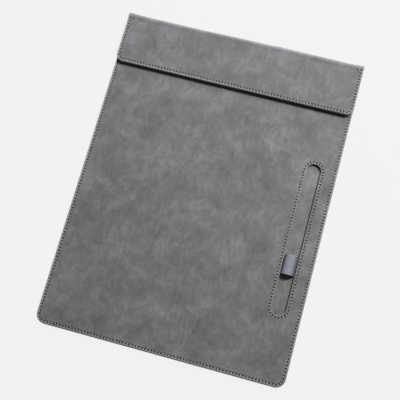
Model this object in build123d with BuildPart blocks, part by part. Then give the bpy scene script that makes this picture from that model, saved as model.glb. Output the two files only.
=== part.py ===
from build123d import *
from math import asin, atan2, cos, degrees, hypot, radians, sin
import os

# Writing pad folder for A4 paper: a stiff board covered in leather, with a pen groove and an elastic
# loop at its right side, and a clamping flap that folds over the top end of the paper.
# Millimetres. The back lies on z = 0, +X runs to the right, +Y towards the fold of the flap,
# +Z out of the writing face. The origin is the middle of the whole back.

# Sheets and boards
leather_t = 0.8
lining_t = 0.6
turn_in_t = 0.4
turn_in_w = 8.0
back_board_t = 1.4
groove_board_t = 2.0
flap_board_t = 1.2
fit_gap = 0.1

# Whole folder and its board
folder_l = 320.0
board_w = 240.0
corner_r = 9.5
fold_corner_r = 1.5
edge_r = 1.2
under_edge_r = 0.6
back_inset = 1.2

# Pen groove
groove_w = 13.4
groove_l = 148.4
groove_from_side = 22.4
groove_from_bottom = 64.0
groove_lip_r = 0.7
floor_lap = 4.0

# Elastic pen loop
loop_t = 0.7
loop_l = 20.0
loop_from_groove_end = 37.2
loop_rise = 3.4
loop_leg = 1.2
loop_wall_gap = 0.5
loop_tab_w = 5.0

# Fold and flap
fold_r = 3.0
fold_h = 9.1
crease_gap = 0.1
flap_reach = 51.8
flap_side_lap = 0.3
flap_corner_r = 7.5
flap_clear = 1.3

# Magnets in the flap and the steel strip they hold on to
magnet_d = 12.0
magnet_count = 4
magnet_from_side = 39.3
magnet_from_edge = 16.0
keeper_from_side = 20.0
keeper_w = 14.0
keeper_t = 0.5

# Heights of the board's layers
back_board_z = leather_t
groove_board_z = back_board_z + back_board_t
front_leather_z = groove_board_z + groove_board_t
face_z = front_leather_z + leather_t
groove_floor_z = groove_board_z + lining_t
board_end_y = folder_l / 2 - fold_r
board_pad_l = folder_l - fold_r

# Places of the groove and its loop
groove_x = board_w / 2 - groove_from_side
groove_y = -folder_l / 2 + groove_from_bottom + groove_l / 2
loop_y = -folder_l / 2 + groove_from_bottom + loop_from_groove_end + loop_l / 2
loop_half_w = groove_w / 2 - loop_wall_gap
loop_arch_z = groove_floor_z + loop_leg
loop_top_z = face_z + loop_rise
loop_tab_end = groove_w / 2 + leather_t + loop_tab_w

# The flap leans down from the fold until its lining is flap_clear above the writing face
flap_t = leather_t + flap_board_t + lining_t
flap_w = board_w + 2 * flap_side_lap
flap_run = flap_reach - fold_r
fold_top_z = fold_h - fold_r
lining_low = fold_r - flap_t
lean_drop = fold_top_z - face_z - flap_clear
flap_lean = degrees(asin(lean_drop / hypot(flap_run, lining_low)) + atan2(lining_low, flap_run))
flap_plane = Plane(
    origin=(0, board_end_y, fold_top_z),
    x_dir=(1, 0, 0),
    z_dir=(0, -sin(radians(flap_lean)), cos(radians(flap_lean))),
)

# The row of magnets, and the steel strip that lies under it when the flap is closed
magnet_pitch = (flap_w - 2 * magnet_from_side) / (magnet_count - 1)
keeper_l = board_w - 2 * keeper_from_side
keeper_y = board_end_y - flap_run + magnet_from_edge

# The outer sheet turns round two centres. Each crease halves its bend and lies on the outside.
low_centre = (board_end_y, fold_r)
top_centre = (board_end_y, fold_top_z)
low_crease = -45.0
top_crease = (90 + flap_lean) / 2
notch = degrees(crease_gap / 2 / fold_r)
flap_up = Axis((0, 0, 0), flap_plane.z_dir)


def pad_outline(width, length, free_r, fold_corner, sides, fold_end):
    """Outline of a pad from its fold end at y = 0 to its free edge, drawn in at the sides and the fold end."""
    with BuildSketch(mode=Mode.PRIVATE) as outline:
        with Locations((0, -fold_end)):
            Rectangle(width - 2 * sides, length - sides - fold_end, align=(Align.CENTER, Align.MAX))
        fillet(outline.vertices().group_by(Axis.Y)[0], max(free_r - sides, 0.3))
        if fold_corner > fold_end:
            fillet(outline.vertices().group_by(Axis.Y)[-1], fold_corner - fold_end)
    return outline.sketch


def board_outline(inset):
    """The board's outline, drawn in by inset all round."""
    return pad_outline(board_w, board_pad_l, corner_r, fold_corner_r, inset, inset)


def flap_outline(inset):
    """The flap's outline, drawn in by inset on its three free edges."""
    return pad_outline(flap_w, flap_run, flap_corner_r, 0, inset, 0)


def board_plane(z):
    """Level of the board at height z, with its middle at the board's fold end."""
    return Plane((0, board_end_y, z))


def bent_sheet(centre, outer, thick, start, end):
    """Section of a sheet bent round a centre, from one angle to another."""
    with BuildSketch(mode=Mode.PRIVATE) as section:
        with BuildLine():
            outside = CenterArc(centre, outer, start, end - start)
            inside = CenterArc(centre, outer - thick, start, end - start)
            Line(outside @ 0, inside @ 0)
            Line(outside @ 1, inside @ 1)
        make_face()
    return section.sketch


def spine_section(outer, thick):
    """Section of a layer of the fold between its two creases: two bends with a flat between them."""
    with BuildSketch(mode=Mode.PRIVATE) as section:
        add(bent_sheet(low_centre, outer, thick, low_crease + notch, 0))
        add(bent_sheet(top_centre, outer, thick, 0, top_crease - notch))
        with Locations((board_end_y + outer - thick, fold_r)):
            Rectangle(thick, fold_top_z - fold_r, align=(Align.MIN, Align.MIN))
    return section.sketch


def groove_slot(margin):
    """The groove's outline, widened by margin all round."""
    with BuildSketch(mode=Mode.PRIVATE) as slot:
        SlotOverall(groove_l + 2 * margin, groove_w + 2 * margin, rotation=90)
    return slot.sketch


def groove_plane(z):
    """Level of the groove at height z, with its middle at the groove's middle."""
    return Plane((groove_x, groove_y, z))


# Outer leather under the board, rolling up into the fold
with BuildPart() as back_leather:
    with BuildSketch(board_plane(0)):
        add(pad_outline(board_w, board_pad_l, corner_r, 0, back_inset, 0))
    extrude(amount=leather_t)
    with BuildSketch(Plane.YZ):
        add(bent_sheet(low_centre, fold_r, leather_t, -90, low_crease - notch))
    extrude(amount=board_w / 2, both=True)
back_leather.part.label = "back_leather"

# Lower board, with its underside pressed thinner where the front leather is turned under
with BuildPart() as back_board:
    with BuildSketch(board_plane(back_board_z + turn_in_t)):
        add(board_outline(leather_t))
    extrude(amount=back_board_t - turn_in_t)
    with BuildSketch(board_plane(back_board_z)):
        add(board_outline(turn_in_w + fit_gap))
    extrude(amount=turn_in_t)
back_board.part.label = "back_board"

# Leather strip at the bottom of the pen groove, lapped under the upper board all round
with BuildPart() as groove_floor_leather:
    with BuildSketch(groove_plane(groove_board_z)):
        add(groove_slot(leather_t + floor_lap))
    extrude(amount=lining_t)
groove_floor_leather.part.label = "groove_floor_leather"

# Upper board: cut through for the groove, rebated for its floor, pocketed for the loop's ends
with BuildPart() as groove_board:
    with BuildSketch(board_plane(groove_board_z)):
        add(board_outline(leather_t))
    extrude(amount=groove_board_t)
    with BuildSketch(groove_plane(groove_board_z)):
        add(groove_slot(leather_t))
    extrude(amount=groove_board_t, mode=Mode.SUBTRACT)
    with BuildSketch(groove_plane(groove_board_z)):
        add(groove_slot(leather_t + floor_lap + fit_gap))
    extrude(amount=lining_t, mode=Mode.SUBTRACT)
    with BuildSketch(Plane((groove_x, loop_y, groove_floor_z))):
        Rectangle(2 * (loop_tab_end + fit_gap), loop_l + 2 * fit_gap)
    extrude(amount=loop_t + fit_gap, mode=Mode.SUBTRACT)
    with BuildSketch(Plane((0, keeper_y, front_leather_z - keeper_t))):
        Rectangle(keeper_l + 2 * fit_gap, keeper_w + 2 * fit_gap)
    extrude(amount=keeper_t, mode=Mode.SUBTRACT)
groove_board.part.label = "groove_board"

# Steel strip let into the top of the upper board, under the magnets
with BuildPart() as keeper_strip:
    with BuildSketch(Plane((0, keeper_y, front_leather_z - keeper_t))):
        RectangleRounded(keeper_l, keeper_w, 2)
    extrude(amount=keeper_t)
keeper_strip.part.label = "keeper_strip"

# Leather of the writing side: rolled over the four edges, turned under the board and down into the groove
with BuildPart() as front_leather:
    with BuildSketch(board_plane(back_board_z)):
        add(board_outline(0))
    extrude(amount=face_z - back_board_z)
    fillet(front_leather.faces().sort_by(Axis.Z)[-1].edges(), edge_r)
    fillet(front_leather.faces().sort_by(Axis.Z)[0].edges(), under_edge_r)
    with BuildSketch(board_plane(back_board_z + turn_in_t)):
        add(board_outline(leather_t))
    extrude(amount=front_leather_z - back_board_z - turn_in_t, mode=Mode.SUBTRACT)
    with BuildSketch(board_plane(back_board_z)):
        add(board_outline(turn_in_w))
    extrude(amount=turn_in_t, mode=Mode.SUBTRACT)
    with BuildSketch(groove_plane(groove_floor_z)):
        add(groove_slot(leather_t))
    extrude(amount=front_leather_z - groove_floor_z)
    with BuildSketch(groove_plane(groove_floor_z)):
        add(groove_slot(0))
    extrude(amount=face_z - groove_floor_z, mode=Mode.SUBTRACT)
    fillet(front_leather.faces().sort_by(Axis.Z)[-1].inner_wires()[0].edges(), groove_lip_r)
    with BuildSketch(Plane((groove_x, loop_y, groove_floor_z))):
        Rectangle(2 * (groove_w / 2 + leather_t), loop_l + 2 * fit_gap)
    extrude(amount=loop_t + fit_gap, mode=Mode.SUBTRACT)
front_leather.part.label = "front_leather"

# Elastic pen loop: two flat ends held under the upper board, two legs and an arch over the groove
with BuildPart() as pen_loop:
    with BuildSketch(Plane((groove_x, loop_y, 0), x_dir=(1, 0, 0), z_dir=(0, -1, 0))):
        with Locations((0, loop_arch_z)):
            Ellipse(loop_half_w, loop_top_z - loop_arch_z)
        with Locations((0, groove_floor_z)):
            Rectangle(4 * loop_half_w, loop_top_z, align=(Align.CENTER, Align.MAX), mode=Mode.SUBTRACT)
            Rectangle(2 * loop_half_w, loop_leg, align=(Align.CENTER, Align.MIN))
            Rectangle(2 * loop_tab_end, loop_t, align=(Align.CENTER, Align.MIN))
        with Locations((0, loop_arch_z)):
            Ellipse(loop_half_w - loop_t, loop_top_z - loop_arch_z - loop_t, mode=Mode.SUBTRACT)
        with Locations((0, groove_floor_z)):
            Rectangle(2 * (loop_half_w - loop_t), loop_leg, align=(Align.CENTER, Align.MIN), mode=Mode.SUBTRACT)
    extrude(amount=loop_l / 2, both=True)
pen_loop.part.label = "pen_loop"

# Outer leather between the two creases
with BuildPart() as hinge_leather:
    with BuildSketch(Plane.YZ):
        add(spine_section(fold_r, leather_t))
    extrude(amount=board_w / 2, both=True)
hinge_leather.part.label = "hinge_leather"

# Thin lining glued inside the fold
with BuildPart() as hinge_lining:
    with BuildSketch(Plane.YZ):
        add(spine_section(fold_r - leather_t, lining_t))
    extrude(amount=board_w / 2 - back_inset, both=True)
hinge_lining.part.label = "hinge_lining"

# Outer leather of the flap: from the upper crease over the top, rolled over the three free edges
with BuildPart() as flap_leather:
    with BuildSketch(flap_plane.offset(lining_low + lining_t)):
        add(flap_outline(0))
    extrude(amount=flap_board_t + leather_t)
    fillet(flap_leather.faces().sort_by(flap_up)[-1].edges().sort_by(Axis.Y)[:-1], edge_r)
    fillet(flap_leather.faces().sort_by(flap_up)[0].edges().sort_by(Axis.Y)[:-1], under_edge_r)
    with BuildSketch(flap_plane.offset(lining_low + lining_t + turn_in_t)):
        add(flap_outline(leather_t))
    extrude(amount=flap_board_t - turn_in_t, mode=Mode.SUBTRACT)
    with BuildSketch(flap_plane.offset(lining_low + lining_t)):
        add(flap_outline(turn_in_w))
    extrude(amount=turn_in_t, mode=Mode.SUBTRACT)
    with BuildSketch(Plane.YZ):
        add(bent_sheet(top_centre, fold_r, leather_t, top_crease + notch, 90 + flap_lean))
    extrude(amount=flap_w / 2, both=True)
flap_leather.part.label = "flap_leather"

# Board in the flap, pressed thinner under the turned-in leather, with a hole for each magnet
with BuildPart() as flap_board:
    with BuildSketch(flap_plane.offset(lining_low + lining_t + turn_in_t)):
        add(flap_outline(leather_t))
    extrude(amount=flap_board_t - turn_in_t)
    with BuildSketch(flap_plane.offset(lining_low + lining_t)):
        add(flap_outline(turn_in_w + fit_gap))
    extrude(amount=turn_in_t)
    with BuildSketch(flap_plane.offset(lining_low + lining_t)):
        with Locations((0, magnet_from_edge - flap_run)):
            with GridLocations(magnet_pitch, 0, magnet_count, 1):
                Circle(magnet_d / 2 + fit_gap)
    extrude(amount=flap_board_t, mode=Mode.SUBTRACT)
flap_board.part.label = "flap_board"

# Lining under the flap
with BuildPart() as flap_lining:
    with BuildSketch(flap_plane.offset(lining_low)):
        add(flap_outline(back_inset))
    extrude(amount=lining_t)
flap_lining.part.label = "flap_lining"

# Disc magnets in the flap's board, in a row behind its front edge
with BuildPart() as magnets:
    with BuildSketch(flap_plane.offset(lining_low + lining_t)):
        with Locations((0, magnet_from_edge - flap_run)):
            with GridLocations(magnet_pitch, 0, magnet_count, 1):
                Circle(magnet_d / 2)
    extrude(amount=flap_board_t)

os.makedirs("parts", exist_ok=True)
for piece in (back_leather, back_board, groove_floor_leather, groove_board, keeper_strip, front_leather, pen_loop,
              hinge_leather, hinge_lining, flap_leather, flap_board, flap_lining):
    export_step(piece.part, f"parts/{piece.part.label}.step")
for number, magnet in enumerate(magnets.solids().sort_by(Axis.X), 1):
    magnet.label = f"flap_magnet_{number}"
    export_step(magnet, f"parts/{magnet.label}.step")

crease_out = fold_r * cos(radians(low_crease))
print("lower crease y, z:", board_end_y + crease_out, fold_r - crease_out)
print("upper crease y, z:", board_end_y + fold_r * cos(radians(top_crease)),
      fold_top_z + fold_r * sin(radians(top_crease)))
print("flap lean in degrees:", flap_lean)
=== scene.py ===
import math

import bmesh
import bpy
from mathutils import Matrix, Vector
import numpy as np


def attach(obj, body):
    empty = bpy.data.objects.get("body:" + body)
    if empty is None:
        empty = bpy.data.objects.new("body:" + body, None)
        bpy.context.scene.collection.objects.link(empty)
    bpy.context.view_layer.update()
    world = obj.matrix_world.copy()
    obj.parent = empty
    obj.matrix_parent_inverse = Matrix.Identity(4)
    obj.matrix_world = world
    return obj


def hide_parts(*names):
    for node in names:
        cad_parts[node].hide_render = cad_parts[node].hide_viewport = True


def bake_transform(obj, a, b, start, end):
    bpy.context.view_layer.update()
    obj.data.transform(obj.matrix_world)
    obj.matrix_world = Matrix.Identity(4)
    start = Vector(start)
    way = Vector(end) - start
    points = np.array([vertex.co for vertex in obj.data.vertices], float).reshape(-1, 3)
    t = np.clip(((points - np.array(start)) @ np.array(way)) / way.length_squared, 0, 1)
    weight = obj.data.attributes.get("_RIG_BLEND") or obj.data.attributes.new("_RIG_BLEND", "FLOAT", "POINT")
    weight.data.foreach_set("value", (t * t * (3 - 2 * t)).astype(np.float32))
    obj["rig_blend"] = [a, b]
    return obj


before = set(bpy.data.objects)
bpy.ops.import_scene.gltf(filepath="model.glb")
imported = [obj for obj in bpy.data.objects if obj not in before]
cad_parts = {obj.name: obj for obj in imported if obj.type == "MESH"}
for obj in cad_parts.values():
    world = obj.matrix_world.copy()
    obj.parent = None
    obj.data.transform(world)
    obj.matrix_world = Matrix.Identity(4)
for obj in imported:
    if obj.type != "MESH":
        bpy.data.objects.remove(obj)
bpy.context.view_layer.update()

MM = 0.001

# Sizes of the folder's own pieces, in millimetres, as the solids have them
BOARD_HALF_W = 120.0
BOARD_LOW_Y = -160.0
BOARD_END_Y = 157.0
CORNER_R = 9.5
FOLD_CORNER_R = 1.5
FACE_Z = 5.0
FRONT_LOW_Z = 0.8
LEATHER_T = 0.8
TURN_IN_T = 0.4
TURN_IN_W = 8.0
EDGE_R = 1.2
UNDER_EDGE_R = 0.6
BACK_INSET = 1.2
GROOVE_X = 97.6
GROOVE_Y = -21.8
GROOVE_HALF_W = 6.7
GROOVE_HALF_L = 74.2
GROOVE_FLOOR_Z = 2.8
LOOP_Y = -48.8
LOOP_HALF_L = 10.0
LOOP_T = 0.7
LOOP_HALF_W = 6.2
LOOP_TOP_Z = 8.4
LOOP_LEG = 1.2
LOOP_TAB = 4.5
FOLD_R = 3.0
FOLD_TOP_Z = 6.1
FLAP_HALF_W = 120.3
FLAP_RUN = 48.8
FLAP_CORNER_R = 7.5
FLAP_RIM = 2.0
FLAP_LEAN = math.radians(0.234815)
FLAP_LINING_Z = 0.4
LINING_T = 0.6

# The seams: how far the needle line lies from an edge, the stitch length and the mesh points to a stitch
SEAM_INSET = 2.5
STITCH = 3.1
STEPS_PER_STITCH = 4
BACK_STEPS_PER_STITCH = 2

# How far the middle of the thread lies under the plane that each seam is sewn into
EDGE_SINK = 0.14
GROOVE_SINK = 0.12
FLAP_SINK = 0.12
LINING_SINK = 0.16
BACK_SINK = 0.26
THREAD = {"Thread length": 2.2, "Thread width": 0.80, "Thread height": 0.5, "Hole size": 2.1,
          "Unevenness": 0.10}


# Meshes

def finished(name, bm, material):
    """A closed mesh in millimetres becomes an object in metres, faces outward."""
    bmesh.ops.recalc_face_normals(bm, faces=bm.faces)
    bmesh.ops.scale(bm, vec=(MM, MM, MM), verts=bm.verts)
    mesh = bpy.data.meshes.new(name)
    bm.to_mesh(mesh)
    bm.free()
    mesh.polygons.foreach_set("use_smooth", [True] * len(mesh.polygons))
    mesh.materials.append(material)
    piece = bpy.data.objects.new(name, mesh)
    bpy.context.scene.collection.objects.link(piece)
    return piece


def new_cover():
    """An empty mesh whose points keep how far the leather's colour is painted lighter there, from 0 to 1:
    wear, and painted highlight on edges that face away from the lamps.
    """
    bm = bmesh.new()
    bm.verts.layers.float.new("wear_and_highlight")
    return bm


def put(bm, point, wear_and_highlight=0.0):
    vert = bm.verts.new(point)
    vert[bm.verts.layers.float["wear_and_highlight"]] = wear_and_highlight
    return vert


def bridge(bm, one, two, closed):
    """Quads between two rings of the same number of points."""
    count = len(one)
    for i in range(count if closed else count - 1):
        j = (i + 1) % count
        bm.faces.new((one[i], one[j], two[j], two[i]))


def bridge_all(bm, rings, closed):
    for one, two in zip(rings, rings[1:]):
        bridge(bm, one, two, closed)


def loops_fill(bm, verts):
    """Flat face between closed loops of points, holes left open."""
    chosen = set(verts)
    edges = [e for e in bm.edges
             if e.verts[0] in chosen and e.verts[1] in chosen and len(e.link_faces) < 2]
    bmesh.ops.triangle_fill(bm, use_beauty=True, edges=edges, normal=(0, 0, 1))


def ends_fill(bm):
    """Closes the cut ends of a sheet."""
    open_edges = [e for e in bm.edges if len(e.link_faces) == 1]
    bmesh.ops.holes_fill(bm, edges=open_edges, sides=0)


def smooth_step(t):
    t = min(max(t, 0.0), 1.0)
    return t * t * (3 - 2 * t)


def hump(x, middle, width):
    return math.exp(-((x - middle) / width) ** 2)


def round_edge(half):
    """Half round edge of a sheet: pairs of inset and height over the middle of its thickness."""
    return [(half * (1 - math.cos(math.radians(a))), half * math.sin(math.radians(a)))
            for a in (90, 60, 30, 0, -30, -60, -90)]


# Outlines: straight runs and corner arcs, so that every ring has its points at the same marks

def run_length(run):
    if run[0] == "line":
        return (run[2] - run[1]).length
    return run[2] * abs(run[4] - run[3])


def run_point(run, share):
    if run[0] == "line":
        return run[1].lerp(run[2], share)
    angle = run[3] + (run[4] - run[3]) * share
    return run[1] + Vector((math.cos(angle), math.sin(angle))) * run[2]


def even_marks(runs, count, closed):
    """Marks at equal steps along an outline: which run, and how far along it."""
    lengths = [run_length(r) for r in runs]
    total = sum(lengths)
    marks = []
    for i in range(count if closed else count + 1):
        s = total * i / count
        k = 0
        while k < len(runs) - 1 and s > lengths[k]:
            s -= lengths[k]
            k += 1
        marks.append((k, min(s / lengths[k], 1.0)))
    return marks


def ring_at(runs, marks):
    return [run_point(runs[k], share) for k, share in marks]


def outline_line(runs, closed, count=4000):
    return ring_at(runs, even_marks(runs, count, closed))


def stitch_count(runs):
    return round(sum(run_length(r) for r in runs) / STITCH)


def board_outline(inset):
    """Outline of the board drawn in by inset, anticlockwise from the low end of its right side."""
    w, low, end = BOARD_HALF_W - inset, BOARD_LOW_Y + inset, BOARD_END_Y - inset
    r, q = max(CORNER_R - inset, 0.2), max(FOLD_CORNER_R - inset, 0.2)
    half = math.pi / 2
    return [
        ("line", Vector((w, low + r)), Vector((w, end - q))),
        ("arc", Vector((w - q, end - q)), q, 0, half),
        ("line", Vector((w - q, end)), Vector((-w + q, end))),
        ("arc", Vector((-w + q, end - q)), q, half, 2 * half),
        ("line", Vector((-w, end - q)), Vector((-w, low + r))),
        ("arc", Vector((-w + r, low + r)), r, 2 * half, 3 * half),
        ("line", Vector((-w + r, low)), Vector((w - r, low))),
        ("arc", Vector((w - r, low + r)), r, 3 * half, 4 * half),
    ]


def groove_outline(margin):
    """Outline of the pen groove, widened by margin."""
    r = GROOVE_HALF_W + margin
    top = Vector((GROOVE_X, GROOVE_Y + GROOVE_HALF_L - GROOVE_HALF_W))
    low = Vector((GROOVE_X, GROOVE_Y - GROOVE_HALF_L + GROOVE_HALF_W))
    side = Vector((r, 0))
    return [
        ("line", low + side, top + side),
        ("arc", top, r, 0, math.pi),
        ("line", top - side, low - side),
        ("arc", low, r, math.pi, 2 * math.pi),
    ]


def u_outline(half_w, start, front, corner_r, inset):
    """Outline of three free edges drawn in by inset, from the right side round the front to the left side."""
    w, b = half_w - inset, front - inset
    r = max(corner_r - inset, 0.2)
    half = math.pi / 2
    return [
        ("line", Vector((w, start)), Vector((w, b - r))),
        ("arc", Vector((w - r, b - r)), r, 0, half),
        ("line", Vector((w - r, b)), Vector((-w + r, b))),
        ("arc", Vector((-w + r, b - r)), r, half, 2 * half),
        ("line", Vector((-w, b - r)), Vector((-w, start))),
    ]


# Sections of the leather's edges

RIM_INSETS = [8.2, 7.2, 6.3, 5.5, 4.9, 4.4, 4.0, 3.6, 3.25, 2.95, 2.7, 2.5, 2.3, 2.05, 1.8, 1.5]
GROOVE_MARGINS = [6.2, 5.7, 5.2, 4.8, 4.4, 4.0, 3.65, 3.35, 3.05, 2.75, 2.5, 2.25, 1.95, 1.6, 1.25, 0.95]
GROOVE_LIP_R = 0.35
GROOVE_WALL_MARGIN = 0.35
GROOVE_WALL_T = 0.5
FLAP_DIP_DOWN_TO = -0.7


def seam_dip(distance, turn, depth=0.34):
    """Height of the leather beside a seam: pulled down on the needle line, most at the needle holes, and
    puffed beside it."""
    pull = 0.62 + 0.38 * math.cos(turn)
    return (-depth * pull * hump(distance, 0, 0.62) + 0.10 * hump(distance, 1.75, 0.8)
            + 0.07 * hump(distance, -1.35, 0.55))


def rim_wear_and_highlight(inset, height, x, y=0.0):
    """The rolled edge outside the seam is painted lighter: partly wear where it is stretched over the board's
    edge, partly painted highlight. Most is painted on the left side and along the bottom, which face away
    from the key lamp, and on the walls under the edge; none at the fold's end."""
    if y > BOARD_END_Y - 2.5:
        return 0.0
    # Painted highlight: strongest on the left side, away from the key lamp, a quarter as strong on the right.
    away_from_key = 1.0 - 0.75 * smooth_step((x + 60) / 170)
    band = 0.62
    if y < BOARD_LOW_Y + 3:
        away_from_key, band = 1.0, 0.35
    # The walls under the rolled edge are painted lighter, as light from the white floor would show them.
    if height < -LEATHER_T * 1.5:
        return 0.6 * away_from_key
    return away_from_key * (band * smooth_step((2.2 - inset) / 0.8) + (1 - band) * smooth_step((1.2 - inset) / 0.8))


def rolled_rim(deep):
    """Section of a leather edge from the face over the rolled rim, deep below the face, to the turned-in
    hem and back inside: pairs of inset and height over the face. The seam's dip comes on top of it."""
    section = [(d, 0.0) for d in RIM_INSETS]
    for k in range(7):
        a = math.radians(15 * k)
        section.append((EDGE_R * (1 - math.sin(a)), -EDGE_R * (1 - math.cos(a))))
    for k in range(5):
        a = math.radians(22.5 * k)
        section.append((UNDER_EDGE_R * (1 - math.cos(a)), -deep + UNDER_EDGE_R * (1 - math.sin(a))))
    return section + [(TURN_IN_W, -deep), (TURN_IN_W, -deep + TURN_IN_T), (LEATHER_T, -deep + TURN_IN_T),
                      (LEATHER_T, -LEATHER_T), (RIM_INSETS[1], -LEATHER_T), (RIM_INSETS[0], -LEATHER_T)]


def thin_rim():
    """The same points drawn up to a plain sheet with a rounded edge, as the outer leather has in the fold."""
    half = LEATHER_T / 2
    section = [(d, 0.0) for d in RIM_INSETS]
    for k in range(7):
        a = math.radians(15 * k)
        section.append((half * (1 - math.sin(a)), -half * (1 - math.cos(a))))
    for k in range(5):
        a = math.radians(20 * (k + 0.4))
        section.append((half * (1 - math.cos(a)), -half - half * math.sin(a)))
    inner = [0.5, 0.62, 0.74, 0.86, RIM_INSETS[1], RIM_INSETS[0]]
    return section + [(d, -LEATHER_T) for d in inner]


def groove_rim():
    """Section of the front leather over the groove's lip, down its wall and up again behind it: pairs of
    margin outside the groove and height over the face."""
    section = [(d, 0.0) for d in GROOVE_MARGINS]
    for k in range(6):
        a = math.radians(18 * k)
        section.append((GROOVE_WALL_MARGIN + GROOVE_LIP_R * (1 - math.sin(a)),
                        -GROOVE_LIP_R * (1 - math.cos(a))))
    floor = GROOVE_FLOOR_Z - FACE_Z
    wall, behind = GROOVE_WALL_MARGIN, GROOVE_WALL_MARGIN + GROOVE_WALL_T
    return section + [(wall, (floor - GROOVE_LIP_R) / 2), (wall, floor), (behind, floor),
                      (behind, -LEATHER_T), (GROOVE_MARGINS[1], -LEATHER_T),
                      (GROOVE_MARGINS[0], -LEATHER_T)]


def front_leather_mesh(material):
    """Leather of the writing side: puffed and stitched along its rolled edge and round the pen groove."""
    bm = new_cover()
    stitches = stitch_count(board_outline(SEAM_INSET))
    marks = even_marks(board_outline(SEAM_INSET), stitches * STEPS_PER_STITCH, True)
    rings = []
    for inset, height in rolled_rim(FACE_Z - FRONT_LOW_Z):
        ring = []
        for i, p in enumerate(ring_at(board_outline(inset), marks)):
            turn = 2 * math.pi * i / STEPS_PER_STITCH
            dip = seam_dip(inset - SEAM_INSET, turn) if height > -LEATHER_T else 0.0
            ring.append(put(bm, (p.x, p.y, FACE_Z + height + dip), rim_wear_and_highlight(inset, height, p.x, p.y)))
        rings.append(ring)
    bridge_all(bm, rings, True)

    groove_stitches = stitch_count(groove_outline(SEAM_INSET))
    groove_marks = even_marks(groove_outline(SEAM_INSET), groove_stitches * STEPS_PER_STITCH, True)
    groove_rings = []
    for margin, height in groove_rim():
        ring = []
        for i, p in enumerate(ring_at(groove_outline(margin), groove_marks)):
            turn = 2 * math.pi * i / STEPS_PER_STITCH
            dip = seam_dip(margin - SEAM_INSET, turn, 0.30) if height > -LEATHER_T else 0.0
            wear_and_highlight = 0.3 * smooth_step((1.3 - margin) / 0.7) if height > -1.2 else 0.0
            ring.append(put(bm, (p.x, p.y, FACE_Z + height + dip), wear_and_highlight))
        groove_rings.append(ring)
    bridge_all(bm, groove_rings, True)

    loops_fill(bm, rings[0] + groove_rings[0])
    loops_fill(bm, rings[-1] + groove_rings[-1])
    return finished("front_leather_cover", bm, material), stitches, groove_stitches


# The outer leather is one flat cut, bent round the fold. A point of the cut is given by x, by v, which is its
# distance along the leather from the middle of the spine, positive towards the flap, and by its height over
# the leather.

SPINE_HALF = (FOLD_TOP_Z - FOLD_R) / 2
TOP_BEND = FOLD_R * (math.pi / 2 + FLAP_LEAN)
LOW_BEND = FOLD_R * math.pi / 2
FLAP_START = SPINE_HALF + TOP_BEND
FLAP_FRONT = FLAP_START + FLAP_RUN
BACK_START = -SPINE_HALF - LOW_BEND
BACK_FAR = BOARD_END_Y - BOARD_LOW_Y - BACK_START
ROLL_TOP = FLAP_START - 2.0
FOLD_ROWS = [0.0, 0.5, 1.0, 1.55, 1.9, 2.3, 2.7, 3.1, 3.5, 3.9, 4.3, 4.7, 5.1, 5.5, 5.9, 6.34, 6.9, 7.5, 8.1,
             8.7, 9.3, 9.9, 10.6, 11.5]
BACK_ROWS = [0.0, -0.8, -1.55, -1.9, -2.3, -2.7, -3.1, -3.5, -3.9, -4.3, -4.7, -5.1, -5.5, -5.9, -6.26, -7.0,
             -8.0]
LINING_ROWS = [0.0, 0.5, 1.0, 1.55, 2.0, 2.5, 3.0, 3.5, 4.0, 4.5, 5.0, 5.5, 6.0]
FLAP_SEAM_START = 7.0
FOLD_COLUMNS = 72
LINING_COLUMNS = 48


def on_fold(x, v, height):
    """Place in space of a point of the outer leather's cut."""
    if abs(v) <= SPINE_HALF:
        return Vector((x, BOARD_END_Y + FOLD_R + height, (FOLD_TOP_Z + FOLD_R) / 2 + v))
    if v > 0:
        side, bend, past, middle_z = 1, TOP_BEND, v - FLAP_START, FOLD_TOP_Z
    else:
        side, bend, past, middle_z = -1, LOW_BEND, BACK_START - v, FOLD_R
    angle = min(abs(v) - SPINE_HALF, bend) / FOLD_R
    out = Vector((0, math.cos(angle), side * math.sin(angle)))
    along = Vector((0, -math.sin(angle), side * math.cos(angle)))
    return Vector((x, BOARD_END_Y, middle_z)) + out * (FOLD_R + height) + along * max(past, 0.0)


def fold_wave(x, v):
    """The roll of the fold is a little uneven: pinched up at its ends, most at the left one, with a shallow
    crease where the flap's board begins."""
    ends = hump(abs(x), 121, 7)
    roll = hump(v, ROLL_TOP, 4.2 if v > ROLL_TOP else 2.6)
    uneven = 0.32 + 0.13 * math.sin(x / 21 + 0.5) + 0.12 * math.sin(x / 12.5 + 2.1) - 0.45 * hump(x, 105, 9)
    spine = smooth_step(v / 1.8) * hump(v, 2.8, 2.4)
    swell = 0.22 + 0.80 * hump(x, -121, 13) + 0.45 * hump(x, 39, 12)
    valley = hump(v, FLAP_START + 3.4, 1.9) * (0.03 + 0.34 * hump(x, 94, 20) + 0.05 * math.sin(x / 17))
    return roll * (0.60 * ends + uneven * (1 - ends)) + spine * swell - valley * (1 - 0.8 * ends)


def fold_wear_and_highlight(v):
    """The leather is painted a little lighter round the top of the fold: partly wear where it is stretched
    there, partly painted highlight that widens the light along the roll.
    """
    return 0.30 * hump(v, ROLL_TOP, 2.2)


def corner_pinch(side, v):
    """The ends of the fold are pressed together, which rounds off the corners of its outline."""
    r = 0.9 if side > 0 else 1.3
    bend = min(max((abs(v) - SPINE_HALF) / FOLD_R, 0.0), math.pi / 2)
    t = min(max((FOLD_R * math.cos(bend) - FOLD_R + r) / r, 0.0), 1.0)
    return r * (1 - math.sqrt(1 - t * t))


def flap_skew(x, run):
    """The flap's front edge isn't cut quite square: how much longer the flap is, at x and at this run from
    the fold."""
    return (0.0064 * x + 0.45) * smooth_step((run - 8) / 30)


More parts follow.
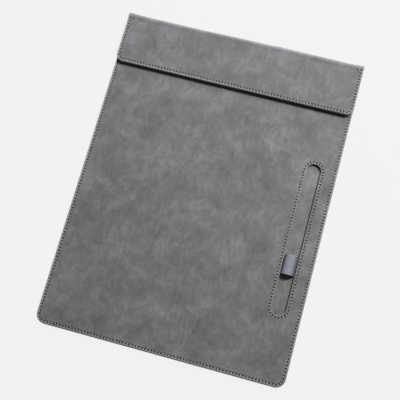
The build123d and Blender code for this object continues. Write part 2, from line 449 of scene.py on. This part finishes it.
def across_fold(bm, ring, rows, wear_and_highlight_at):
    """Faces across the fold between both ends of a ring, then the flat rest of the sheet inside the ring."""
    before = None
    for k, v in enumerate(rows):
        right, left = ring[k], ring[-1 - k]
        row = [right]
        for c in range(1, FOLD_COLUMNS):
            x = right.co.x + (left.co.x - right.co.x) * c / FOLD_COLUMNS
            row.append(put(bm, (x, v, right.co.z), wear_and_highlight_at(v)))
        row.append(left)
        if before:
            bridge(bm, before, row, False)
        before = row
    loops_fill(bm, before + ring[len(rows) - 1:len(ring) - len(rows) + 1])


def flap_outline(inset):
    return u_outline(FLAP_HALF_W, FOLD_ROWS[-1], FLAP_FRONT, FLAP_CORNER_R, inset)


def flap_side_point(side, v, deep, thin):
    """Point of a ring beside the fold, where the rolled rim of the flap runs out into the plain sheet."""
    share = smooth_step((v - FLAP_START + 1.2) / 3.0)
    inset = thin[0] + (deep[0] - thin[0]) * share
    height = thin[1] + (deep[1] - thin[1]) * share
    if height > FLAP_DIP_DOWN_TO:
        height += smooth_step((v - FLAP_SEAM_START) / 1.6) * seam_dip(inset - SEAM_INSET, math.pi / 2)
    return Vector((side * (FLAP_HALF_W - inset - corner_pinch(side, v)), v, height))


def flap_leather_mesh(material):
    """Outer leather from the middle of the spine over the fold to the flap's front edge."""
    bm = new_cover()
    stitches = stitch_count(flap_outline(SEAM_INSET))
    marks = even_marks(flap_outline(SEAM_INSET), stitches * STEPS_PER_STITCH, False)
    rings = []
    for deep, thin in zip(rolled_rim(FLAP_RIM), thin_rim()):
        inset, height = deep
        right = [flap_side_point(1, v, deep, thin) for v in FOLD_ROWS[:-1]]
        left = [flap_side_point(-1, v, deep, thin) for v in FOLD_ROWS[-2::-1]]
        front = []
        for i, p in enumerate(ring_at(flap_outline(inset), marks)):
            turn = 2 * math.pi * i / STEPS_PER_STITCH
            dip = seam_dip(inset - SEAM_INSET, turn) if height > FLAP_DIP_DOWN_TO else 0.0
            front.append(Vector((p.x, p.y, height + dip)))
        rings.append([put(bm, q, max(rim_wear_and_highlight(inset, height, q.x), fold_wear_and_highlight(q.y)))
                      for q in right + front + left])
    bridge_all(bm, rings, False)
    for ring in (rings[0], rings[-1]):
        across_fold(bm, ring, FOLD_ROWS, fold_wear_and_highlight)
    ends_fill(bm)
    for vert in bm.verts:
        x, v, height = vert.co
        vert.co = on_fold(x, v + flap_skew(x, v - FLAP_START), height + fold_wave(x, v))
    return finished("flap_outer_leather", bm, material), stitches


def back_leather_mesh(material):
    """Outer leather from the middle of the spine round the fold and under the whole board."""
    bm = new_cover()
    half = LEATHER_T / 2
    section = [(d, 0.0) for d in (9.2, 8.0, 3.4, 2.6, 2.1, 1.7, 1.3, 0.9, 0.6)]
    section += [(d, h - half) for d, h in round_edge(half)[1:]]
    section += [(8.0, -LEATHER_T), (9.2, -LEATHER_T)]
    needle_inset = SEAM_INSET - BACK_INSET
    start = -BACK_ROWS[-1]

    def outline(inset):
        return u_outline(BOARD_HALF_W - BACK_INSET, start, BACK_FAR - BACK_INSET, CORNER_R - BACK_INSET,
                         inset)

    stitches = stitch_count(outline(needle_inset))
    marks = even_marks(outline(needle_inset), stitches * BACK_STEPS_PER_STITCH, False)
    rings = []
    for inset, height in section:
        right, left = [], []
        for v in BACK_ROWS[:-1]:
            x = BOARD_HALF_W - BACK_INSET * smooth_step(-v / 6.0) - inset
            right.append(Vector((x - corner_pinch(1, v), v, height)))
            left.insert(0, Vector((-x + corner_pinch(-1, v), v, height)))
        far = []
        for i, p in enumerate(ring_at(outline(inset), marks)):
            pull = 0.6 + 0.4 * math.cos(2 * math.pi * i / BACK_STEPS_PER_STITCH)
            dip = -smooth_step((p.y - start) / 4) * 0.22 * pull * hump(inset, needle_inset, 0.5)
            far.append(Vector((p.x, -p.y, height + (dip if height > -0.3 else 0.0))))
        rings.append([put(bm, q, rim_wear_and_highlight(inset + BACK_INSET, height, q.x)) for q in right + far + left])
    bridge_all(bm, rings, False)
    for ring in (rings[0], rings[-1]):
        across_fold(bm, ring, BACK_ROWS, lambda v: 0.0)
    ends_fill(bm)
    for vert in bm.verts:
        vert.co = on_fold(*vert.co)
    return finished("back_outer_leather", bm, material), stitches


def fold_lining_mesh(name, rows, lift, material):
    """Half of the lining inside the fold: a strip with rounded edges, raised by lift."""
    bm = bmesh.new()
    low, high = -LEATHER_T - LINING_T, -LEATHER_T - 0.02
    half = (high - low) / 2
    w = BOARD_HALF_W - BACK_INSET
    inner = w - half
    steps = [2 * inner * c / LINING_COLUMNS for c in range(1, LINING_COLUMNS)]
    edge = [(d, low + half + h) for d, h in round_edge(half)]
    loop = [(w - d, h) for d, h in edge] + [(inner - s, low) for s in steps]
    loop += [(-w + d, h) for d, h in reversed(edge)] + [(-inner + s, high) for s in steps]
    rings = [[bm.verts.new((x, v, h + lift(x, v))) for x, h in loop] for v in rows]
    bridge_all(bm, rings, True)
    bm.faces.new(rings[0])
    bm.faces.new(rings[-1])
    for vert in bm.verts:
        vert.co = on_fold(*vert.co)
    return finished(name, bm, material)


# The elastic band: the radius of the bends at its feet, how far its arch leans to the left, how square the
# arch is (2 is an ellipse), where its two sides lie beside the solid's and how far along the band the middle
# of its painted light lies
LOOP_FOOT_R = 0.7
LOOP_LEAN = 0.45
LOOP_SQUARE = 2.12
LOOP_NEAR_Y = LOOP_Y - LOOP_HALF_L + 1.0
LOOP_FAR_Y = LOOP_Y + LOOP_HALF_L + 0.2
BAND_LIT_MIDDLE_MM = 15.5
BAND_SHARES = [-1.0, -0.985, -0.95, -0.9] + [-0.8 + 0.1 * k for k in range(17)] + [0.9, 0.95, 0.985, 1.0]


def band_line():
    """Middle of the band's thickness, from its right foot over the arch to its left foot."""
    leg_x = LOOP_HALF_W - LOOP_T / 2
    foot_z = GROOVE_FLOOR_Z + LOOP_T / 2
    arch_z = GROOVE_FLOOR_Z + LOOP_LEG
    rise = LOOP_TOP_Z - LOOP_T / 2 - arch_z
    foot = [(GROOVE_HALF_W + LEATHER_T + LOOP_TAB, foot_z), (leg_x + 1.6, foot_z)]
    for k in range(1, 6):
        a = math.radians(18 * k)
        foot.append((leg_x + LOOP_FOOT_R * (1 - math.sin(a)), foot_z + LOOP_FOOT_R * (1 - math.cos(a))))
    arch = []
    for k in range(1, 36):
        a = math.pi * k / 36
        side = math.copysign(abs(math.cos(a)) ** (2 / LOOP_SQUARE), math.cos(a))
        arch.append((leg_x * side - LOOP_LEAN * math.sin(a),
                     arch_z + rise * math.sin(a) ** (2 / LOOP_SQUARE)))
    return [Vector(p) for p in foot + arch + [(-x, z) for x, z in reversed(foot)]]


def pen_loop_mesh(material):
    """Elastic band: two flat ends under the board, legs up the groove's walls and an arch over the groove."""
    points = band_line()
    bm = bmesh.new()
    uv = bm.loops.layers.uv.new("band")
    grid = {}
    run = 0.0
    for j, p in enumerate(points):
        before = points[max(j - 1, 0)]
        along = (points[min(j + 1, len(points) - 1)] - before).normalized()
        normal = Vector((along.y, -along.x))
        if j:
            run += (p - before).length
        for i, share in enumerate(BAND_SHARES):
            thick = LOOP_T / 2 * (0.62 if abs(share) > 0.99 else 0.92 if abs(share) > 0.97 else 1.0)
            lift = 0.10 * hump(share, -1.0, 0.12) * hump(p.x, 0, 3.5)
            y = LOOP_NEAR_Y + (LOOP_FAR_Y - LOOP_NEAR_Y) * (share + 1) / 2
            for side in (1, -1):
                q = p + normal * (thick * side + lift)
                grid[side, j, i] = (bm.verts.new((GROOVE_X + q.x, y, q.y)),
                                    (run * MM, share * LOOP_HALF_L * MM))
    rows, columns = len(points), len(BAND_SHARES)

    def quad(*keys):
        face = bm.faces.new([grid[k][0] for k in keys])
        for loop, key in zip(face.loops, keys):
            loop[uv].uv = grid[key][1]

    for j in range(rows - 1):
        for i in range(columns - 1):
            for side in (1, -1):
                quad((side, j, i), (side, j + 1, i), (side, j + 1, i + 1), (side, j, i + 1))
        for i in (0, columns - 1):
            quad((1, j, i), (1, j + 1, i), (-1, j + 1, i), (-1, j, i))
    for i in range(columns - 1):
        for j in (0, rows - 1):
            quad((1, j, i), (1, j, i + 1), (-1, j, i + 1), (-1, j, i))
    return finished("pen_loop_band", bm, material)


# Seams, repeated along their needle lines by Geometry Nodes

def add_node(tree, kind, links=(), **settings):
    """Adds a node with its settings; links are pairs of an input and the socket or value that feeds it."""
    node = tree.nodes.new(kind)
    for key, value in settings.items():
        setattr(node, key, value)
    for name, source in links:
        socket = node.inputs[name]
        if isinstance(source, bpy.types.NodeSocket):
            tree.links.new(source, socket)
        else:
            socket.default_value = source
    return node


SEAM_INPUTS = (("Needle line", "NodeSocketGeometry", None), ("Points", "NodeSocketInt", 100),
               ("Thread length", "NodeSocketFloat", 0.0022), ("Thread width", "NodeSocketFloat", 0.0007),
               ("Thread height", "NodeSocketFloat", 0.0005), ("Hole size", "NodeSocketFloat", 0.0012),
               ("Unevenness", "NodeSocketFloat", 0.0001), ("Thread slant", "NodeSocketFloat", 0.3))


def seam_tree(name, thread_material, hole_material):
    """Along a needle line: a needle hole at every stitch and a length of thread between each two holes."""
    tree = bpy.data.node_groups.new(name, "GeometryNodeTree")
    for label, kind, default in SEAM_INPUTS:
        socket = tree.interface.new_socket(label, in_out="INPUT", socket_type=kind)
        if default is not None:
            socket.default_value = default
    tree.interface.new_socket("Seam", in_out="OUTPUT", socket_type="NodeSocketGeometry")

    def xyz(*parts):
        return add_node(tree, "ShaderNodeCombineXYZ", zip("XYZ", parts)).outputs[0]

    def sum_of(operation, one, two):
        return add_node(tree, "ShaderNodeMath", [(0, one), (1, two)], operation=operation).outputs[0]

    def turned_to(shape, **how):
        return add_node(tree, "GeometryNodeTransform",
                        [("Geometry", shape), *how.items()]).outputs["Geometry"]

    def oval(rings, size):
        ball = add_node(tree, "GeometryNodeMeshUVSphere",
                        [("Segments", 8), ("Rings", rings), ("Radius", 0.5)])
        return turned_to(ball.outputs["Mesh"], Scale=size)

    given = add_node(tree, "NodeGroupInput").outputs
    curve = add_node(tree, "GeometryNodeMeshToCurve", [("Mesh", given["Needle line"])]).outputs["Curve"]
    spaced = add_node(tree, "GeometryNodeResampleCurve", [("Curve", curve), ("Count", given["Points"])])
    tangent = add_node(tree, "GeometryNodeInputTangent").outputs["Tangent"]
    turned = add_node(tree, "FunctionNodeAlignRotationToVector", [("Vector", tangent)],
                      axis="X", pivot_axis="Z")
    index = add_node(tree, "GeometryNodeInputIndex").outputs["Index"]
    is_thread = add_node(tree, "FunctionNodeCompare", [("A", sum_of("MODULO", index, 2.0)), ("B", 0.5)],
                         data_type="FLOAT", operation="GREATER_THAN").outputs["Result"]
    is_hole = add_node(tree, "FunctionNodeBooleanMath", [(0, is_thread)], operation="NOT").outputs[0]
    most = given["Unevenness"]
    least = sum_of("MULTIPLY", most, -1.0)
    jitter = add_node(tree, "FunctionNodeRandomValue",
                      [("Min", xyz(least, least)), ("Max", xyz(most, most)), ("Seed", 7)],
                      data_type="FLOAT_VECTOR").outputs["Value"]
    moved = add_node(tree, "GeometryNodeSetPosition",
                     [("Geometry", spaced.outputs["Curve"]), ("Offset", jitter)])

    thread_size = xyz(given["Thread length"], given["Thread width"], given["Thread height"])
    thread_length = turned_to(oval(6, thread_size), Rotation=xyz(0.0, 0.0, given["Thread slant"]))
    hole_depth = sum_of("MULTIPLY", given["Hole size"], 0.22)
    needle_mark = oval(4, xyz(given["Hole size"], given["Hole size"], hole_depth))
    joined = add_node(tree, "GeometryNodeJoinGeometry")
    for chosen, shape, material in ((is_thread, thread_length, thread_material),
                                    (is_hole, needle_mark, hole_material)):
        placed = add_node(tree, "GeometryNodeInstanceOnPoints", [
            ("Points", moved.outputs["Geometry"]), ("Selection", chosen), ("Instance", shape),
            ("Rotation", turned.outputs["Rotation"])])
        real = add_node(tree, "GeometryNodeRealizeInstances", [("Geometry", placed.outputs["Instances"])])
        painted = add_node(tree, "GeometryNodeSetMaterial", [("Geometry", real.outputs["Geometry"]),
                                                             ("Material", material)])
        tree.links.new(painted.outputs["Geometry"], joined.inputs[0])
    smooth = add_node(tree, "GeometryNodeSetShadeSmooth", [(0, joined.outputs[0])])
    add_node(tree, "NodeGroupOutput", [("Seam", smooth.outputs[0])])
    return tree


def sewn_seam(name, line, closed, stitches, place):
    """Sews stitches along a needle line given in millimetres in its own frame, then puts them in place."""
    mesh = bpy.data.meshes.new(name + "_line")
    count = len(line)
    edges = [(i, (i + 1) % count) for i in range(count if closed else count - 1)]
    mesh.from_pydata([p.to_3d() * MM for p in line], edges, [])
    guide = bpy.data.objects.new(name + "_guide", mesh)
    bpy.context.scene.collection.objects.link(guide)
    modifier = guide.modifiers.new("Sewing", "NODES")
    modifier.node_group = sewing
    inputs = {item.name: item.identifier for item in sewing.interface.items_tree if item.in_out == "INPUT"}
    modifier[inputs["Points"]] = 2 * stitches + (0 if closed else 1)
    for label, value in THREAD.items():
        modifier[inputs[label]] = value * MM
    bpy.context.view_layer.update()
    sewn = bpy.data.meshes.new_from_object(guide.evaluated_get(bpy.context.evaluated_depsgraph_get()))
    bpy.data.objects.remove(guide)
    sewn.name = name
    sewn.transform(place)
    piece = bpy.data.objects.new(name, sewn)
    bpy.context.scene.collection.objects.link(piece)
    return piece


# Materials

def linear(hex_colour):
    """An sRGB hex colour as linear red, green, blue and full alpha."""
    channels = [int(hex_colour[i:i + 2], 16) / 255 for i in (1, 3, 5)]
    return [c / 12.92 if c <= 0.04045 else ((c + 0.055) / 1.055) ** 2.4 for c in channels] + [1.0]


def new_material(name):
    material = bpy.data.materials.new(name)
    material.use_nodes = True
    tree = material.node_tree
    place = add_node(tree, "ShaderNodeTexCoord").outputs["Object"]
    return material, tree, tree.nodes["Principled BSDF"], place


def set_values(shader, values):
    for name, value in values.items():
        shader.inputs[name].default_value = value


def noise_at(tree, vector, size_mm, **settings):
    """Noise with patches of about size_mm."""
    return add_node(tree, "ShaderNodeTexNoise",
                    [("Vector", vector), ("Scale", 1000 / size_mm), *settings.items()])


def bands_at(tree, vector, spacing_mm, distortion, direction):
    """Bands that lie spacing_mm apart."""
    scale = 2 * math.pi / 20 / (spacing_mm * MM)
    return add_node(tree, "ShaderNodeTexWave",
                    [("Vector", vector), ("Scale", scale), ("Distortion", distortion)],
                    bands_direction=direction).outputs["Fac"]


def stretched(tree, vector, **how):
    return add_node(tree, "ShaderNodeMapping", [("Vector", vector), *how.items()]).outputs[0]


def mixed_value(tree, share, one, two):
    return add_node(tree, "ShaderNodeMix", [("Factor", share), ("A", one), ("B", two)],
                    data_type="FLOAT").outputs[0]


def mixed_colour(tree, share, one, two, **settings):
    return add_node(tree, "ShaderNodeMixRGB", [("Fac", share), ("Color1", one), ("Color2", two)],
                    **settings).outputs[0]


def ramp(tree, factor, stops):
    node = add_node(tree, "ShaderNodeValToRGB", [("Fac", factor)])
    elements = node.color_ramp.elements
    while len(elements) < len(stops):
        elements.new(0.5)
    for element, (position, colour) in zip(elements, stops):
        element.position = position
        element.color = linear(colour)
    return node.outputs["Color"]


def add_bump(tree, shader, height, strength, depth_mm):
    bump = add_node(tree, "ShaderNodeBump", [("Height", height), ("Strength", strength),
                                             ("Distance", depth_mm * MM)])
    tree.links.new(bump.outputs[0], shader.inputs["Normal"])


def nubuck_effect_leather(name, dark, middle, light, seed):
    """PU leather with a brushed nubuck effect: a polyurethane skin, buffed so that it is matt and clouded in
    patches of 10 to 30 mm, with faint brush marks across them and a fine grain of about 0.5 mm."""
    material, tree, shader, place = new_material(name)
    warp_mm, cloud_mm, patch_mm, brush_mm, grain_mm = 30, 26, 9, 3, 0.55
    shifted = stretched(tree, place, Location=(seed, seed * 0.7, 0))
    warp = noise_at(tree, shifted, warp_mm, Detail=2.0).outputs["Color"]
    bent = mixed_colour(tree, 0.018, shifted, warp, blend_type="ADD")
    clouds = noise_at(tree, bent, cloud_mm, Detail=5.0, Roughness=0.62).outputs["Fac"]
    patches = noise_at(tree, bent, patch_mm, Detail=4.0, Roughness=0.6, Distortion=0.8).outputs["Fac"]
    slant = stretched(tree, bent, Rotation=(0, 0, math.radians(38)), Scale=(1.0, 0.22, 1.0))
    brushed = noise_at(tree, slant, brush_mm, Detail=3.0, Roughness=0.55).outputs["Fac"]
    grain = noise_at(tree, place, grain_mm, Detail=2.0).outputs["Fac"]
    mottle = mixed_value(tree, 0.22, mixed_value(tree, 0.42, clouds, patches), brushed)
    colour = ramp(tree, mottle, [(0.36, dark), (0.50, middle), (0.64, light)])
    wear_and_highlight = add_node(tree, "ShaderNodeAttribute", attribute_name="wear_and_highlight").outputs["Fac"]
    # Towards a light grey where the mesh asks for it: wear on the rolled edges and the fold, and painted
    # highlight where these face away from the lamps.
    worn_and_highlit = mixed_colour(tree, wear_and_highlight, colour, linear("#B4B6B9"))
    tree.links.new(worn_and_highlit, shader.inputs["Base Color"])
    rough = add_node(tree, "ShaderNodeMapRange", [("Value", mottle), ("From Min", 0.35), ("From Max", 0.65),
                                                  ("To Min", 0.72), ("To Max", 0.60)]).outputs[0]
    tree.links.new(rough, shader.inputs["Roughness"])
    add_bump(tree, shader, mixed_value(tree, 0.3, grain, brushed), 0.25, 0.2)
    set_values(shader, {"Specular IOR Level": 0.35, "Sheen Weight": 0.12, "Sheen Roughness": 0.5})
    return material


def polyester_thread():
    """Bonded polyester sewing thread, twisted from three plies: a low sheen, with slanting ply lines 0.4 mm
    apart."""
    material, tree, shader, place = new_material("bonded polyester thread")
    plies = bands_at(tree, place, 0.4, 1.0, "DIAGONAL")
    tree.links.new(ramp(tree, plies, [(0.2, "#9FA1A3"), (0.8, "#BBBDC0")]), shader.inputs["Base Color"])
    add_bump(tree, shader, plies, 0.4, 0.05)
    set_values(shader, {"Roughness": 0.5})
    return material


def needle_hole():
    """Leather pushed down by the needle: the inside of the hole, dark because no light reaches it."""
    material, tree, shader, place = new_material("needle hole in the leather")
    shade = noise_at(tree, place, 0.6).outputs["Fac"]
    tree.links.new(ramp(tree, shade, [(0.3, "#0C0C0E"), (0.7, "#151618")]), shader.inputs["Base Color"])
    set_values(shader, {"Roughness": 0.9})
    return material


def woven_elastic():
    """Woven elastic webbing: rubber cores under a lilac grey polyester weave, ribs 0.9 mm apart across the
    band and weft threads of 0.45 mm, slightly silky. Its colour is painted darker down both flanks of the
    arch, away from the lit middle of its top: painted shade for the flanks that turn away from the light."""
    material, tree, shader, _ = new_material("woven elastic webbing")
    band = add_node(tree, "ShaderNodeTexCoord").outputs["UV"]
    ribs = bands_at(tree, band, 0.9, 0.3, "Y")
    weft = bands_at(tree, band, 0.45, 0.4, "X")
    fuzz = noise_at(tree, band, 1.8, Detail=3.0, Roughness=0.7).outputs["Fac"]
    weave = mixed_value(tree, 0.4, ribs, weft)
    weave_colour = ramp(tree, mixed_value(tree, 0.6, weave, fuzz),
                      [(0.34, "#747680"), (0.5, "#90929F"), (0.66, "#A9ACBA")])
    along = add_node(tree, "ShaderNodeSeparateXYZ", [("Vector", band)]).outputs["X"]
    from_top = add_node(tree, "ShaderNodeMath", [(0, along), (1, BAND_LIT_MIDDLE_MM * MM)],
                        operation="SUBTRACT").outputs[0]
    away = add_node(tree, "ShaderNodeMath", [(0, from_top)], operation="ABSOLUTE").outputs[0]
    # Painted shade: darker down both flanks of the arch, away from the lit middle of its top.
    painted_flank_shade = add_node(tree, "ShaderNodeMapRange",
                     [("Value", away), ("From Min", 0.0014), ("From Max", 0.0080)],
                     interpolation_type="SMOOTHSTEP").outputs[0]
    tree.links.new(mixed_colour(tree, painted_flank_shade, weave_colour, linear("#50515A")), shader.inputs["Base Color"])
    add_bump(tree, shader, weave, 0.5, 0.1)
    set_values(shader, {"Roughness": 0.55, "Sheen Weight": 0.3})
    return material


def greyboard():
    """Greyboard pressed from waste paper: matt, with fibre flecks of about 1 mm."""
    material, tree, shader, place = new_material("pressed greyboard")
    fibres = noise_at(tree, place, 1.0, Detail=4.0).outputs["Fac"]
    tree.links.new(ramp(tree, fibres, [(0.35, "#7F7A70"), (0.65, "#A09A8E")]), shader.inputs["Base Color"])
    set_values(shader, {"Roughness": 0.9})
    return material


def rolled_steel(name, tone, roughness):
    """Thin steel, cold rolled or nickel plated: drawn lines 0.3 mm apart along the sheet."""
    material, tree, shader, place = new_material(name)
    lines = noise_at(tree, stretched(tree, place, Scale=(0.05, 1.0, 1.0)), 0.3).outputs["Fac"]
    add_bump(tree, shader, lines, 0.2, 0.02)
    set_values(shader, {"Base Color": linear(tone), "Metallic": 1.0, "Roughness": roughness})
    return material


front_nubuck = nubuck_effect_leather("nubuck effect PU leather, writing side",
                                     "#666664", "#797978", "#8E8F90", 3.1)
# The outer sheet is a shade darker than the writing side: painted shade that evens out the fold and flap,
# which lie higher, nearer the lamps.
outer_nubuck = nubuck_effect_leather("nubuck effect PU leather, outer sheet",
                                     "#646564", "#757677", "#898A8D", 5.7)
lining_leather = nubuck_effect_leather("thin PU lining", "#666768", "#727374", "#7E7F81", 9.2)
thread = polyester_thread()
holes = needle_hole()
elastic = woven_elastic()
card = greyboard()
strip_steel = rolled_steel("cold rolled steel strip", "#A8A8A8", 0.35)
nickel = rolled_steel("nickel plated magnet", "#C4C2BE", 0.2)


def dress(node, material):
    """Gives a solid of the frame its material."""
    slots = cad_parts[node].data.materials
    slots.clear()
    slots.append(material)


for node, material in (("back_board", card), ("groove_board", card), ("flap_board", card),
                       ("groove_floor_leather", front_nubuck), ("flap_lining", lining_leather),
                       ("keeper_strip", strip_steel)):
    dress(node, material)
for number in range(1, 5):
    dress(f"flap_magnet_{number}", nickel)

# Leather covers and the lining in the fold
front_cover, edge_stitches, groove_stitches = front_leather_mesh(front_nubuck)
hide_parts("front_leather")
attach(front_cover, "board")

flap_cover, flap_stitches = flap_leather_mesh(outer_nubuck)
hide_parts("flap_leather", "hinge_leather")

back_cover, back_stitches = back_leather_mesh(outer_nubuck)
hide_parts("back_leather")

LOWER_CREASE = [(0, BOARD_END_Y * MM, 0), (0, (BOARD_END_Y + FOLD_R) * MM, FOLD_R * MM)]
UPPER_CREASE = [(0, (BOARD_END_Y + FOLD_R) * MM, FOLD_TOP_Z * MM),
                (0, BOARD_END_Y * MM, (FOLD_TOP_Z + FOLD_R) * MM)]
lining_low = fold_lining_mesh("fold_lining_lower", [-v for v in LINING_ROWS], lambda x, v: 0.0,
                              lining_leather)
lining_top = fold_lining_mesh("fold_lining_upper", LINING_ROWS, fold_wave, lining_leather)
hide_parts("hinge_lining")
for piece in (back_cover, lining_low):
    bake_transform(piece, "board", "fold", start=LOWER_CREASE[0], end=LOWER_CREASE[1])
for piece in (flap_cover, lining_top):
    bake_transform(piece, "fold", "flap", start=UPPER_CREASE[0], end=UPPER_CREASE[1])

loop_band = pen_loop_mesh(elastic)
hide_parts("pen_loop")
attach(loop_band, "board")

# Seams of the writing side
sewing = seam_tree("Stitched seam", thread, holes)


def flat_at(z):
    return Matrix.Translation((0, 0, z * MM))


edge_seam = sewn_seam("edge_seam", outline_line(board_outline(SEAM_INSET), True), True, edge_stitches,
                      flat_at(FACE_Z - EDGE_SINK))
groove_seam = sewn_seam("groove_seam", outline_line(groove_outline(SEAM_INSET), True), True, groove_stitches,
                        flat_at(FACE_Z - GROOVE_SINK))
for piece in (edge_seam, groove_seam):
    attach(piece, "board")

# The flap's seam lies in the flap's own plane, which leans down from the fold. At both ends it runs up one
# stitch more than the flat part and turns inward for one.
flap_frame = Matrix.Translation((0, BOARD_END_Y * MM, FOLD_TOP_Z * MM)) @ Matrix.Rotation(FLAP_LEAN, 4, "X")
flap_runs = flap_outline(SEAM_INSET)
pitch = sum(run_length(r) for r in flap_runs) / flap_stitches


def end_hook(last):
    corner = Vector((last.x, last.y - pitch))
    inner = Vector((last.x - math.copysign(pitch, last.x), last.y - pitch))
    return inner, corner, last


inner, corner, first = end_hook(flap_runs[0][1])
right_hook = [("line", inner, corner), ("line", corner, first)]
inner, corner, last = end_hook(flap_runs[-1][2])
left_hook = [("line", last, corner), ("line", corner, inner)]
flap_line = [Vector((p.x, FLAP_START - p.y - flap_skew(p.x, p.y - FLAP_START), fold_wave(p.x, p.y)))
             for p in outline_line(right_hook + flap_runs + left_hook, False)]
flap_seam = sewn_seam("flap_seam", flap_line, False, flap_stitches + 4,
                      flap_frame @ flat_at(FOLD_R - FLAP_SINK))
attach(flap_seam, "flap")

# The same stitches as they come out on the lining under the flap and on the back of the board
turned_over = Matrix.Rotation(math.pi, 4, "Y")
lining_line = [Vector((-p.x, FLAP_START - p.y)) for p in outline_line(flap_runs, False)]
lining_seam = sewn_seam("lining_seam", lining_line, False, flap_stitches,
                        flap_frame @ flat_at(FLAP_LINING_Z) @ turned_over @ flat_at(-LINING_SINK))
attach(lining_seam, "flap")
back_runs = u_outline(BOARD_HALF_W, -BACK_ROWS[-1], BACK_FAR, CORNER_R, SEAM_INSET)
back_line = [Vector((-p.x, BOARD_END_Y - p.y - BACK_START)) for p in outline_line(back_runs, False)]
back_seam = sewn_seam("back_seam", back_line, False, back_stitches, turned_over @ flat_at(-BACK_SINK))
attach(back_seam, "board")

# Floor: the camera sees it as plain white paper with a faint shadow, and it lights the folder as matt paper
FLOOR_HALF = 4.0
FLOOR_UNDER = 0.0002
SEEN_PLAIN = 0.97
corners = [(-1, -1), (1, -1), (1, 1), (-1, 1)]
floor_mesh = bpy.data.meshes.new("studio_floor")
floor_mesh.from_pydata([(FLOOR_HALF * x, FLOOR_HALF * y, 0) for x, y in corners], [], [(0, 1, 2, 3)])
floor = bpy.data.objects.new("studio_floor", floor_mesh)
bpy.context.scene.collection.objects.link(floor)
floor.location.z = -FLOOR_UNDER
paper = bpy.data.materials.new("white studio paper")
paper.use_nodes = True
tree = paper.node_tree
matt = tree.nodes["Principled BSDF"]
set_values(matt, {"Base Color": linear("#E8E8E8"), "Roughness": 0.95, "Specular IOR Level": 0.0})
plain = add_node(tree, "ShaderNodeEmission", [("Color", linear("#F3F3F3"))]).outputs[0]
seen = add_node(tree, "ShaderNodeLightPath").outputs["Is Camera Ray"]
direct = add_node(tree, "ShaderNodeMath", [(0, seen), (1, SEEN_PLAIN)], operation="MULTIPLY").outputs[0]
mixed = add_node(tree, "ShaderNodeMixShader", [(0, direct), (1, matt.outputs[0]), (2, plain)])
tree.links.new(mixed.outputs[0], tree.nodes["Material Output"].inputs["Surface"])
floor_mesh.materials.append(paper)

# Backdrop: the strength that the camera sees, and the weaker one that fills the shadows
BACKDROP_SEEN = 0.896
BACKDROP_FILL = 0.055
world = bpy.context.scene.world or bpy.data.worlds.new("studio")
bpy.context.scene.world = world
world.use_nodes = True
tree = world.node_tree
backdrop = tree.nodes["Background"]
backdrop.inputs["Color"].default_value = (1, 1, 1, 1)
seen = add_node(tree, "ShaderNodeLightPath").outputs["Is Camera Ray"]
level = add_node(tree, "ShaderNodeMath", [(0, seen), (1, BACKDROP_SEEN - BACKDROP_FILL), (2, BACKDROP_FILL)],
                 operation="MULTIPLY_ADD").outputs[0]
tree.links.new(level, backdrop.inputs["Strength"])


def soft_lamp(name, place, size, watts):
    """A round soft lamp that shines at the middle of the folder."""
    lamp = bpy.data.lights.new(name, "AREA")
    lamp.shape = "DISK"
    lamp.size = size
    lamp.energy = watts
    stand = bpy.data.objects.new(name, lamp)
    bpy.context.scene.collection.objects.link(stand)
    stand.location = place
    stand.rotation_euler = (-Vector(place)).to_track_quat("-Z", "Y").to_euler()


soft_lamp("key_softbox", (0.71, 0.90, 1.01), 0.44, 23.6)
soft_lamp("window_light", (-0.06, 0.74, 0.37), 0.60, 2.9)

# Camera: its place in millimetres, its right and up directions and its focal length in pixels of the
# photograph, which is 400 pixels wide
CAMERA_PLACE = Vector((112.77076521, -195.19860965, 847.44711083))
CAMERA_RIGHT = Vector((0.96145828, 0.26589977, -0.06996641))
CAMERA_UP = Vector((-0.24241571, 0.93985875, 0.24062449))
FOCAL_PIXELS = 911.2516
PHOTO_PIXELS = 400.0
camera_data = bpy.data.cameras.new("photo_camera")
camera_data.sensor_width = 36.0
camera_data.lens = FOCAL_PIXELS * camera_data.sensor_width / PHOTO_PIXELS
camera = bpy.data.objects.new("photo_camera", camera_data)
bpy.context.scene.collection.objects.link(camera)
view = Matrix((CAMERA_RIGHT, CAMERA_UP, CAMERA_RIGHT.cross(CAMERA_UP))).transposed().to_4x4()
view.translation = CAMERA_PLACE * MM
camera.matrix_world = view
bpy.context.scene.camera = camera
bpy.context.scene.view_settings.view_transform = "Standard"
